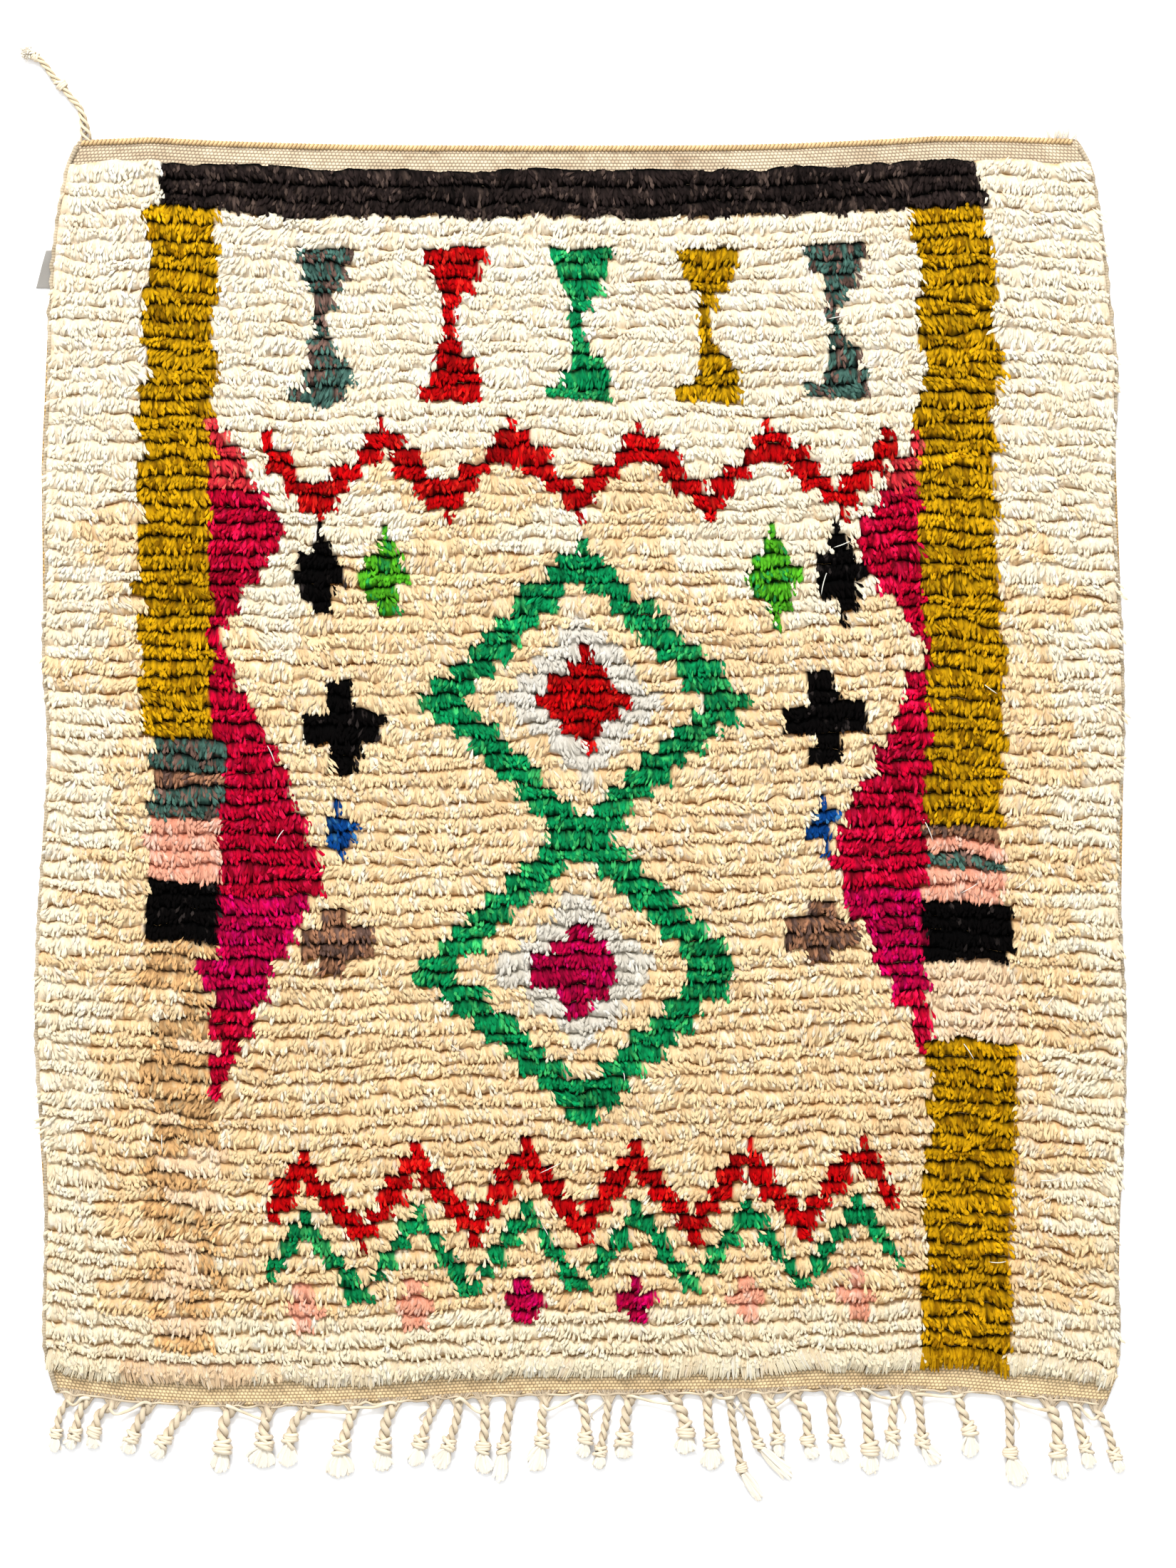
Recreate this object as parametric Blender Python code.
"""Azilal rug, laid flat: knotted wool pile in ribs on a woven cloth, with a fringe of knotted cords.

The underside lies on Z = 0. The whipped top end is towards +Y, the fringe towards -Y.
"""

import math
from bisect import bisect_right
from collections import namedtuple

import bmesh
import bpy
from mathutils import Matrix, Vector, noise

MM = 0.001

# Cloth
CLOTH_LENGTH = 1.590
TOP_WEAVE = 0.031
BOTTOM_WEAVE = 0.036
WEAVE_HEIGHT = 0.004
WEAVE_SLOPE = 0.002
WHIP_HEIGHT = 0.0065
WHIP_WIDTH = 0.006
WHIP_OUTER_SHARE = 0.75
WHIP_CREST_AT = 0.5
WHIP_FOOT_AT = 1.3
SELVAGE_HEIGHT = 0.006

# Pile
ROWS = 78
CREST_HEIGHT = 0.0185
GROOVE_HEIGHT = 0.0115
GROOVE_SHARE = 0.12
CREST_SHARE = 0.66
LUMP_SIZE = 0.085
LUMP_HEIGHT = 0.003
NOISE_GAIN = 1.6
LOCK_LAYER = 5.0
LOCK_STEP = 0.7
ROW_WAVE = 0.0035
ROW_WAVE_LENGTH = 0.52
ROW_DRIFT_LENGTH = 1.1
LONG_WAVE = 0.6
SHORT_WAVE = 0.4
SHORT_WAVE_TURNS = 2.3
SHORT_WAVE_PHASE = 1.0
TOP_WAVE_SHARE = 0.5
BOTTOM_WAVE_SHARE = 0.6
COLUMNS = 17
RIM_WIDTH = 0.008
RIM_SHARE = 0.82
LOCK_REACH = 0.0035

# Fringe
GAP = 0.0003
STRIP_WIDTH = 0.005
STRIP_HEIGHT = 0.0045
PLY_ACROSS = 0.0064
PLY_THROUGH = 0.0038
TURN_LENGTH = 0.026
STEPS_PER_TURN = 6
ROOT_WIDTH = 0.65
ROOT_HALF_WIDTH = 0.0034
ROOT_CLEARANCE = 1.3
ROOT_RUN = 0.008
ROOT_LEAN = 0.05
ROUTE_PARTS = 12
LEAST_STEPS = 3
KNOT_WIDTH = 1.35
KNOT_LENGTH = 0.012
KNOT_BELOW = 0.4
KNOT_MIDDLE = 0.55
KNOT_SWELL = 1.6
KNOT_STILLNESS = 0.75
KNOT_ROUNDNESS = 0.2
NECK_SHARE = 0.75
NECK_HEIGHT = 1.3
FLARE_SHARE = 0.75
FLARE_AT = 0.5
LOCK_HEIGHT = 0.0028
LOCK_TIP = 0.0016
SHORT_LOCK = 0.22
SIDE_LOCK = 0.12
TUFT_AT = 0.12
SHARP_ANGLE = math.radians(60)

# Side tab
TAB_THICKNESS = 0.001
TAB_TOP = 0.138
TAB_LENGTH = 0.048
TAB_LEAN = 0.013
TAB_PROUD = 0.0035
TAB_CORNER = 0.004
TAB_TOP_DROP = 0.3
TAB_REACH = 0.02

# How far each side edge stands from the middle line, going down the cloth, in mm
SideStation = namedtuple("SideStation", "down left right")
SIDES = (
    SideStation(0, 638, 624),
    SideStation(22, 650, 641),
    SideStation(58, 657, 649),
    SideStation(112, 667, 658),
    SideStation(220, 675, 670),
    SideStation(300, 676, 677),
    SideStation(436, 682, 672),
    SideStation(544, 679, 678),
    SideStation(652, 683, 684),
    SideStation(760, 676, 685),
    SideStation(868, 680, 679),
    SideStation(976, 688, 681),
    SideStation(1084, 692, 687),
    SideStation(1192, 690, 687),
    SideStation(1300, 681, 682),
    SideStation(1408, 680, 676),
    SideStation(1516, 682, 680),
    SideStation(1570, 674, 668),
    SideStation(1590, 667, 659),
)

# How far each end edge stands beyond its mean line, from left to right, in mm
EndStation = namedtuple("EndStation", "across beyond")
TOP_EDGE = (
    EndStation(-640, 0),
    EndStation(-573, 5),
    EndStation(-465, 0),
    EndStation(-285, -5),
    EndStation(-30, -6),
    EndStation(210, -5),
    EndStation(345, 0),
    EndStation(480, 7),
    EndStation(570, 4),
    EndStation(630, 2),
)
BOTTOM_EDGE = (
    EndStation(-656, -6),
    EndStation(-590, 4),
    EndStation(-500, 11),
    EndStation(-375, 11),
    EndStation(-195, 4),
    EndStation(-105, -2),
    EndStation(75, -4),
    EndStation(210, -5),
    EndStation(300, -9),
    EndStation(470, -8),
    EndStation(600, 4),
    EndStation(656, 9),
)

# Each fringe cord, in mm: where it leaves the edge, where its knot and its tuft's tip lie from there,
# its thickness as a share of the usual, the spread of its tuft and how many locks the tuft has
Cord = namedtuple("Cord", "root knot_across knot_down tip_across tip_down width spread locks")
CORDS = (
    Cord(-648, -18, 52, -20, 72, 0.80, 4, 3),
    Cord(-628, -14, 50, -22, 64, 0.90, 5, 3),
    Cord(-594, -24, 42, -26, 60, 0.95, 6, 3),
    Cord(-550, -20, 44, -27, 62, 1.00, 8, 4),
    Cord(-501, -30, 46, -39, 65, 1.00, 7, 3),
    Cord(-446, -9, 52, -15, 83, 1.20, 9, 4),
    Cord(-397, -5, 46, -12, 76, 1.15, 15, 5),
    Cord(-349, -21, 44, -25, 77, 1.00, 9, 4),
    Cord(-289, -16, 57, -20, 93, 1.10, 15, 5),
    Cord(-240, -12, 56, -13, 86, 1.15, 9, 4),
    Cord(-186, -20, 56, -28, 83, 1.00, 8, 3),
    Cord(-157, -13, 60, -26, 88, 0.95, 8, 3),
    Cord(-124, -2, 66, 2, 96, 1.00, 9, 4),
    Cord(-90, -10, 68, -15, 108, 0.90, 6, 3),
    Cord(-47, -4, 60, -15, 96, 1.00, 9, 4),
    Cord(-3, 7, 56, 2, 78, 1.00, 6, 3),
    Cord(33, -11, 74, -11, 93, 0.85, 5, 3),
    Cord(60, -8, 57, -8, 80, 1.10, 9, 4),
    Cord(116, 15, 48, 14, 75, 1.15, 9, 4),
    Cord(158, 5, 62, 4, 95, 1.00, 10, 4),
    Cord(186, 16, 96, 40, 134, 0.80, 5, 3),
    Cord(204, 20, 66, 62, 108, 0.80, 6, 3),
    Cord(235, 12, 60, 14, 80, 0.90, 5, 3),
    Cord(269, 16, 64, 26, 83, 0.95, 7, 3),
    Cord(315, 6, 64, 13, 90, 1.00, 8, 4),
    Cord(356, 8, 76, 8, 106, 1.15, 8, 4),
    Cord(398, -6, 60, -10, 86, 0.95, 7, 3),
    Cord(424, 6, 66, 26, 93, 0.95, 8, 3),
    Cord(476, 14, 50, 13, 83, 1.00, 8, 4),
    Cord(539, 2, 74, 16, 113, 0.95, 10, 4),
    Cord(591, 10, 66, 16, 99, 1.15, 7, 3),
    Cord(624, 13, 58, 18, 83, 0.90, 5, 3),
    Cord(650, 24, 66, 32, 84, 0.85, 5, 3),
)

# The loose cord at the top left corner, from its root to its tuft, in mm from the edge at its root
Bend = namedtuple("Bend", "across beyond")
TASSEL_ROOT = -0.628
TASSEL_BENDS = (
    Bend(0, -2),
    Bend(-1, 8),
    Bend(-7, 34),
    Bend(-20, 50),
    Bend(-30, 64),
    Bend(-41, 75),
    Bend(-50, 88),
    Bend(-62, 100),
    Bend(-70, 104),
)
TASSEL_STRIP = 0.022
TASSEL_WIDTH = 0.8
TASSEL_KNOT_AT = 0.60
TASSEL_NECK = 0.002
TASSEL_TUFT = 0.017
TASSEL_TUFT_WIDTH = 1.6
TASSEL_SPREAD = 0.009
TASSEL_LOCKS = 5

# The loose ends at the top right corner, in mm: place along the edge, lean and reach
Wisp = namedtuple("Wisp", "across lean reach")
WISPS = (
    Wisp(592, -4, 17),
    Wisp(598, 3, 23),
    Wisp(605, -3, 25),
    Wisp(611, 4, 20),
    Wisp(618, 9, 12),
)
WISP_HALF_WIDTH = 0.0018
WISP_TAPER = 0.6
WISP_BEND = 1.5
WISP_STOPS = (0.5, 1.0)

Line = namedtuple("Line", "down height rim wave lock")
Section = namedtuple("Section", "place half_width half_height turn")
TINY = 0.00001


def on_curve(stations, field, place):
    """The field's value at a place, on a smooth curve through the stations, in metres."""
    spots = [station[0] * MM for station in stations]
    values = [getattr(station, field) * MM for station in stations]
    after = min(max(bisect_right(spots, place), 1), len(spots) - 1)
    before = after - 1
    slopes = []
    for index in (before, after):
        low = max(index - 1, 0)
        high = min(index + 1, len(spots) - 1)
        slopes.append((values[high] - values[low]) / (spots[high] - spots[low]))
    span = spots[after] - spots[before]
    share = min(max((place - spots[before]) / span, 0.0), 1.0)
    keep = (1 + 2 * share) * (1 - share) ** 2
    return (
        keep * values[before]
        + (1 - keep) * values[after]
        + span * share * (1 - share) * ((1 - share) * slopes[0] - share * slopes[1])
    )


def lump(across, down, layer=0.0):
    """Soft unevenness between about -1 and 1."""
    return NOISE_GAIN * noise.noise(Vector((across / LUMP_SIZE, down / LUMP_SIZE, layer)))


def cross_lines():
    """The lines that run across the rug, from its top edge to its bottom edge."""
    outer = WHIP_HEIGHT * WHIP_OUTER_SHARE
    lines = [
        Line(0.0, outer, outer, 0.0, 0.0),
        Line(WHIP_WIDTH * WHIP_CREST_AT, WHIP_HEIGHT, SELVAGE_HEIGHT, 0.0, 0.0),
        Line(WHIP_WIDTH * WHIP_FOOT_AT, WEAVE_HEIGHT, SELVAGE_HEIGHT, 0.0, 0.0),
        Line(TOP_WEAVE - WEAVE_SLOPE, WEAVE_HEIGHT, SELVAGE_HEIGHT, TOP_WAVE_SHARE, 0.0),
    ]
    pitch = (CLOTH_LENGTH - TOP_WEAVE - BOTTOM_WEAVE) / ROWS
    for row in range(ROWS):
        start = TOP_WEAVE + row * pitch
        lock = LOCK_REACH * (1 + lump(row * LUMP_SIZE * LOCK_STEP, 0.0, LOCK_LAYER)) / 2
        lines.append(Line(start + GROOVE_SHARE * pitch, GROOVE_HEIGHT, SELVAGE_HEIGHT, 1.0, 0.0))
        lines.append(Line(start + CREST_SHARE * pitch, CREST_HEIGHT, SELVAGE_HEIGHT, 1.0, lock))
    foot = CLOTH_LENGTH - BOTTOM_WEAVE
    lines.append(Line(foot + WEAVE_SLOPE, WEAVE_HEIGHT, SELVAGE_HEIGHT, BOTTOM_WAVE_SHARE, 0.0))
    lines.append(Line(CLOTH_LENGTH, WEAVE_HEIGHT, WEAVE_HEIGHT, 0.0, 0.0))
    return lines


def cloth_point(share, line):
    """The plan place of the point that lies at a share of the width, from left, on a line."""
    left = on_curve(SIDES, "left", line.down) + line.lock
    right = on_curve(SIDES, "right", line.down) + line.lock
    across = (left + right) * share - left
    phase = 2 * math.pi * (across / ROW_WAVE_LENGTH + line.down / ROW_DRIFT_LENGTH)
    wave = LONG_WAVE * math.sin(phase)
    wave += SHORT_WAVE * math.sin(SHORT_WAVE_TURNS * phase + SHORT_WAVE_PHASE)
    down = line.down + line.wave * ROW_WAVE * wave
    top = CLOTH_LENGTH / 2 + on_curve(TOP_EDGE, "beyond", across)
    bottom = -CLOTH_LENGTH / 2 - on_curve(BOTTOM_EDGE, "beyond", across)
    return across, top + (bottom - top) * down / CLOTH_LENGTH


def column_shares():
    """Where the lengthwise lines of points stand, as shares of the width."""
    rim = RIM_WIDTH / (2 * SIDES[len(SIDES) // 2].left * MM)
    inner = [rim + (1 - 2 * rim) * index / (COLUMNS - 2) for index in range(COLUMNS - 1)]
    return [0.0, *inner, 1.0]


def new_object(name, mesh, collection):
    """Links a new object for a mesh or curve into a collection."""
    made = bpy.data.objects.new(name, mesh)
    collection.objects.link(made)
    return made


def finish(name, colour, roughness):
    """A plain material for one piece."""
    material = bpy.data.materials.new(name)
    material.use_nodes = True
    shader = material.node_tree.nodes["Principled BSDF"]
    shader.inputs["Base Color"].default_value = (*colour, 1.0)
    shader.inputs["Roughness"].default_value = roughness
    shader.inputs["Metallic"].default_value = 0.0
    return material


def make_rug(collection):
    """The cloth and its pile, as one slab with a ribbed top and a flat underside."""
    lines = cross_lines()
    shares = column_shares()
    shape = bmesh.new()
    bmesh.ops.create_grid(shape, x_segments=COLUMNS, y_segments=len(lines) - 1, size=0.5)
    for point in shape.verts:
        column = round((point.co.x + 0.5) * COLUMNS)
        index = round((0.5 - point.co.y) * (len(lines) - 1))
        line = lines[index]
        across, along = cloth_point(shares[column], line)
        height = line.rim
        if 0 < column < COLUMNS:
            height = line.height
            if line.height > WHIP_HEIGHT:
                height += LUMP_HEIGHT * lump(across, along)
            if column in (1, COLUMNS - 1):
                height = max(height * RIM_SHARE, line.rim)
        point.co = (across, along, height)
    rim = [edge for edge in shape.edges if edge.is_boundary]
    wall = bmesh.ops.extrude_edge_only(shape, edges=rim)["geom"]
    for point in (item for item in wall if isinstance(item, bmesh.types.BMVert)):
        point.co.z = 0.0
    bmesh.ops.holes_fill(shape, edges=[edge for edge in shape.edges if edge.is_boundary], sides=0)
    return as_object("rug", shape, collection)


def edge_line(end):
    """The corner points of the rug's top or bottom edge, from left to right."""
    lines = cross_lines()
    return [cloth_point(share, lines[end]) for share in column_shares()]


def edge_along(points, across):
    """How far along the rug a straight-sided edge lies at a place across it."""
    after = min(max(bisect_right([point[0] for point in points], across), 1), len(points) - 1)
    (low_x, low_y), (high_x, high_y) = points[after - 1], points[after]
    return low_y + (high_y - low_y) * (across - low_x) / (high_x - low_x)


def make_strip(edge, first, last, roots, half_root, outward):
    """A narrow strip along an edge, parted from it by the gap, with one face for each root.

    Gives the open shape and the root faces from left to right."""
    stops = [first, last, *(point[0] for point in edge if first < point[0] < last)]
    clear = half_root * ROOT_CLEARANCE
    stops = [stop for stop in stops if min(abs(stop - root) for root in roots) > clear]
    stops += [root + side * half_root for root in roots for side in (-1, 1)]
    stops = sorted(stops)
    shape = bmesh.new()
    bmesh.ops.create_grid(shape, x_segments=len(stops) - 1, y_segments=1, size=0.5)
    for point in shape.verts:
        across = stops[round((point.co.x + 0.5) * (len(stops) - 1))]
        beyond = GAP if point.co.y < 0 else GAP + STRIP_WIDTH
        point.co = (across, edge_along(edge, across) + outward * beyond, 0.0)
    top = bmesh.ops.extrude_face_region(shape, geom=shape.faces[:])["geom"]
    for point in (item for item in top if isinstance(item, bmesh.types.BMVert)):
        point.co.z = STRIP_HEIGHT
    bmesh.ops.recalc_face_normals(shape, faces=shape.faces)
    found = []
    for root in roots:
        along = edge_along(edge, root) + outward * (GAP + STRIP_WIDTH)
        spot = Vector((root, along, STRIP_HEIGHT / 2))
        found.append(min(shape.faces, key=lambda face: (face.calc_center_median() - spot).length))
    return shape, found


def corners_of(section, way):
    """The four corners of a section: low left, low right, high right, high left as seen from ahead."""
    side = Vector((-way.y, way.x, 0.0)).normalized()
    up = Vector((0.0, 0.0, 1.0))
    spin = Matrix.Rotation(section.turn, 3, way)
    corners = []
    for left, high in ((-1, -1), (1, -1), (1, 1), (-1, 1)):
        arm = side * left * section.half_width + up * high * section.half_height
        corners.append(section.place + spin @ arm)
    return corners


def order_nearest(face, corners):
    """Which corner each of the face's points is drawn to, so that the whole face moves least."""
    ways = []
    for shift in range(4):
        ways.append([(shift + step) % 4 for step in range(4)])
        ways.append([(shift - step) % 4 for step in range(4)])

    def moved(way):
        return sum((point.co - corners[corner]).length for point, corner in zip(face.verts, way))

    return min(ways, key=moved)


def grow(shape, face, sections):
    """Draws a face out through a row of sections, and gives the last face."""
    middle = face.calc_center_median()
    order = None
    for index, section in enumerate(sections):
        before = sections[index - 1].place if index else middle
        after = sections[min(index + 1, len(sections) - 1)].place
        way = Vector((after.x - before.x, after.y - before.y, 0.0)).normalized()
        corners = corners_of(section, way)
        face = bmesh.ops.extrude_discrete_faces(shape, faces=[face])["faces"][0]
        order = order or order_nearest(face, corners)
        for point, corner in zip(face.verts, order):
            point.co = corners[corner]
    return face


def smooth_route(bends, step):
    """Points about a step apart on a smooth curve through the bends."""
    ends = [2 * bends[0] - bends[1], *bends, 2 * bends[-1] - bends[-2]]
    fine = []
    for index in range(len(bends) - 1):
        before, start, stop, after = ends[index:index + 4]
        for part in range(ROUTE_PARTS):
            share = part / ROUTE_PARTS
            fine.append(0.5 * (
                2 * start
                + (stop - before) * share
                + (2 * before - 5 * start + 4 * stop - after) * share ** 2
                + (3 * start - before - 3 * stop + after) * share ** 3
            ))
    fine.append(bends[-1])
    travelled = [0.0]
    for index in range(1, len(fine)):
        travelled.append(travelled[-1] + (fine[index] - fine[index - 1]).length)
    count = max(round(travelled[-1] / step), LEAST_STEPS)
    route = []
    for index in range(count + 1):
        place = travelled[-1] * index / count
        after = min(max(bisect_right(travelled, place), 1), len(fine) - 1)
        share = (place - travelled[after - 1]) / (travelled[after] - travelled[after - 1])
        route.append(fine[after - 1].lerp(fine[after], share))
    return route


def cord_sections(bends, width, knots):
    """The sections of a twisted cord that swells at its knots, laid on the floor."""
    route = smooth_route([Vector((*bend, 0.0)) for bend in bends], TURN_LENGTH / STEPS_PER_TURN)
    length = sum((after - before).length for before, after in zip(route, route[1:]))
    step = length / (len(route) - 1)
    sections = []
    turn = 0.0
    for index, place in enumerate(route[1:], start=1):
        travelled = step * index
        thin = ROOT_WIDTH + (1 - ROOT_WIDTH) * min(travelled / ROOT_RUN, 1.0)
        swell = max(1 - abs(travelled - knot * length) / KNOT_LENGTH for knot in knots)
        swell = min(max(KNOT_SWELL * swell, 0.0), 1.0)
        turn += (1 - KNOT_STILLNESS * swell) * 2 * math.pi * step / TURN_LENGTH
        half_width = PLY_ACROSS * width * (thin + (KNOT_WIDTH - 1) * swell)
        half_height = half_width * (PLY_THROUGH / PLY_ACROSS + KNOT_ROUNDNESS * swell)
        rise = half_width * abs(math.sin(turn)) + half_height * abs(math.cos(turn))
        sections.append(Section(place + Vector((0.0, 0.0, rise)), half_width, half_height, turn))
    return sections


def tuft(shape, face, knot, tip, spread, count, width):
    """Flares a cord's end below its knot and splits it into locks, level on the floor."""
    way = (tip - knot).normalized()
    side = Vector((-way.y, way.x, 0.0))
    neck_height = LOCK_HEIGHT * NECK_HEIGHT * width
    neck_half = PLY_ACROSS * NECK_SHARE * width
    neck = Section(knot + Vector((0, 0, neck_height)), neck_half, neck_height, 0.0)
    flare_at = knot.lerp(tip, FLARE_AT)
    flare_half = max(spread * FLARE_SHARE, neck_half)
    flare = Section(flare_at + Vector((0, 0, LOCK_HEIGHT)), flare_half, LOCK_HEIGHT, 0.0)
    face = grow(shape, face, [neck, flare])
    long_edges = sorted(face.edges, key=lambda edge: edge.calc_length())[-2:]
    bmesh.ops.subdivide_edges(shape, edges=long_edges, cuts=count - 1, use_grid_fill=True)
    ends = [
        found
        for found in shape.faces
        if (found.calc_center_median() - flare.place).length < flare_half
        and abs((found.calc_center_median() - flare.place).dot(way)) < TINY
    ]
    ends.sort(key=lambda found: found.calc_center_median().dot(side))
    for index, found in enumerate(ends):
        share = 2 * index / (len(ends) - 1) - 1
        reach = 1 - SHORT_LOCK * (index % 2) - SIDE_LOCK * abs(share)
        place = flare_at.lerp(tip, reach) + side * share * spread
        grow(shape, found, [Section(place + Vector((0, 0, LOCK_TIP)), LOCK_TIP, LOCK_TIP, 0.0)])


def as_object(name, shape, collection):
    """Turns a finished shape into an object shaded smooth, with its twists left sharp."""
    bmesh.ops.recalc_face_normals(shape, faces=shape.faces)
    mesh = bpy.data.meshes.new(name)
    shape.to_mesh(mesh)
    shape.free()
    mesh.shade_smooth()
    mesh.set_sharp_from_angle(angle=SHARP_ANGLE)
    return new_object(name, mesh, collection)


def make_fringe(collection):
    """The bottom fringe: knotted cords with tufts, on the strip of heading yarn at their roots."""
    edge = edge_line(-1)
    roots = [cord.root * MM for cord in CORDS]
    shape, faces = make_strip(edge, edge[0][0], edge[-1][0], roots, ROOT_HALF_WIDTH, -1)
    for cord, face, across in zip(CORDS, faces, roots):
        along = edge_along(edge, across) - GAP - STRIP_WIDTH
        knot = Vector((across + cord.knot_across * MM, along + STRIP_WIDTH - cord.knot_down * MM, 0.0))
        tip = Vector((across + cord.tip_across * MM, along + STRIP_WIDTH - cord.tip_down * MM, 0.0))
        below = knot + (tip - knot).normalized() * KNOT_LENGTH * KNOT_BELOW
        straight = (across + cord.knot_across * MM * ROOT_LEAN, along - ROOT_RUN)
        bends = [(across, along), straight, tuple(knot.xy), tuple(below.xy)]
        knot_at = 1 - KNOT_LENGTH * KNOT_MIDDLE / (knot - Vector((across, along, 0.0))).length
        face = grow(shape, face, cord_sections(bends, cord.width, [knot_at]))
        neck = below.lerp(tip, TUFT_AT)
        tuft(shape, face, neck, tip, cord.spread * MM, cord.locks, cord.width)
    return as_object("fringe", shape, collection)


def make_tassel(collection):
    """The loose twisted cord at the top left corner, with its knot and tuft."""
    edge = edge_line(0)
    low = max(edge[0][0], TASSEL_ROOT - TASSEL_STRIP / 2)
    shape, faces = make_strip(edge, low, low + TASSEL_STRIP, [TASSEL_ROOT], ROOT_HALF_WIDTH, 1)
    along = edge_along(edge, TASSEL_ROOT) + GAP + STRIP_WIDTH
    bends = [(TASSEL_ROOT + bend.across * MM, along + bend.beyond * MM) for bend in TASSEL_BENDS]
    face = grow(shape, faces[0], cord_sections(bends, TASSEL_WIDTH, [TASSEL_KNOT_AT]))
    end = Vector((*bends[-1], 0.0))
    way = (end - Vector((*bends[-2], 0.0))).normalized()
    tip = end + way * TASSEL_TUFT
    neck = end + way * TASSEL_NECK
    tuft(shape, face, neck, tip, TASSEL_SPREAD, TASSEL_LOCKS, TASSEL_TUFT_WIDTH)
    return as_object("corner_tassel", shape, collection)


def make_wisps(collection):
    """The short loose warp ends at the top right corner."""
    edge = edge_line(0)
    roots = [wisp.across * MM for wisp in WISPS]
    first, last = roots[0] - STRIP_WIDTH, roots[-1] + STRIP_WIDTH
    shape, faces = make_strip(edge, first, last, roots, WISP_HALF_WIDTH, 1)
    for wisp, face in zip(WISPS, faces):
        root = face.calc_center_median()
        sections = []
        for share in WISP_STOPS:
            thick = WISP_HALF_WIDTH * (1 - WISP_TAPER * share)
            reach = Vector((wisp.lean * share ** WISP_BEND, wisp.reach * share, 0.0)) * MM
            place = Vector((root.x, root.y, thick)) + reach
            sections.append(Section(place, thick, thick, 0.0))
        grow(shape, face, sections)
    return as_object("corner_wisps", shape, collection)


def make_tab(collection):
    """The small sewn tab that shows past the left edge, leaning outwards at its lower end."""
    first, last = TAB_TOP - TAB_REACH, TAB_TOP + TAB_LENGTH + TAB_REACH
    beside = [cloth_point(0.0, line)[0] for line in cross_lines() if first < line.down < last]
    inner = min(beside) - GAP
    top = CLOTH_LENGTH / 2 - TAB_TOP
    outline = (
        (inner, top),
        (inner - TAB_PROUD, top - TAB_CORNER * TAB_TOP_DROP),
        (inner - TAB_PROUD - TAB_LEAN, top - TAB_LENGTH + TAB_CORNER),
        (inner, top - TAB_LENGTH),
    )
    curve = bpy.data.curves.new("side_tab", "CURVE")
    curve.dimensions = "2D"
    curve.fill_mode = "BOTH"
    curve.extrude = TAB_THICKNESS / 2
    spline = curve.splines.new("POLY")
    spline.points.add(len(outline) - 1)
    for point, place in zip(spline.points, outline):
        point.co = (*place, 0.0, 1.0)
    spline.use_cyclic_u = True
    tab = new_object("side_tab", curve, collection)
    tab.location.z = TAB_THICKNESS / 2
    return tab


def centre_on_floor(pieces):
    """Hangs every piece on one empty, placed so that the whole rug is centred over the origin."""
    bpy.context.view_layer.update()
    graph = bpy.context.evaluated_depsgraph_get()
    places = []
    for piece in pieces:
        found = piece.evaluated_get(graph)
        places += [found.matrix_world @ point.co for point in found.to_mesh().vertices]
        found.to_mesh_clear()
    middle = [(min(values) + max(values)) / 2 for values in zip(*places)]
    hub = new_object("rug_centre", None, pieces[0].users_collection[0])
    hub.location = (-middle[0], -middle[1], 0.0)
    for piece in pieces:
        piece.parent = hub


def main():
    """Builds the rug."""
    for old in list(bpy.data.objects):
        bpy.data.objects.remove(old, do_unlink=True)
    collection = bpy.data.collections.new("azilal_rug")
    bpy.context.scene.collection.children.link(collection)
    pieces = (
        make_rug(collection),
        make_fringe(collection),
        make_tassel(collection),
        make_wisps(collection),
        make_tab(collection),
    )
    finishes = (
        finish("pile_wool", (0.78, 0.62, 0.42), 0.95),
        finish("fringe_wool", (0.80, 0.68, 0.50), 0.9),
        finish("tassel_wool", (0.80, 0.68, 0.50), 0.9),
        finish("wisp_wool", (0.84, 0.74, 0.58), 0.9),
        finish("tab_tape", (0.42, 0.39, 0.35), 0.8),
    )
    for piece, material in zip(pieces, finishes):
        piece.data.materials.append(material)
    centre_on_floor(pieces)


main()
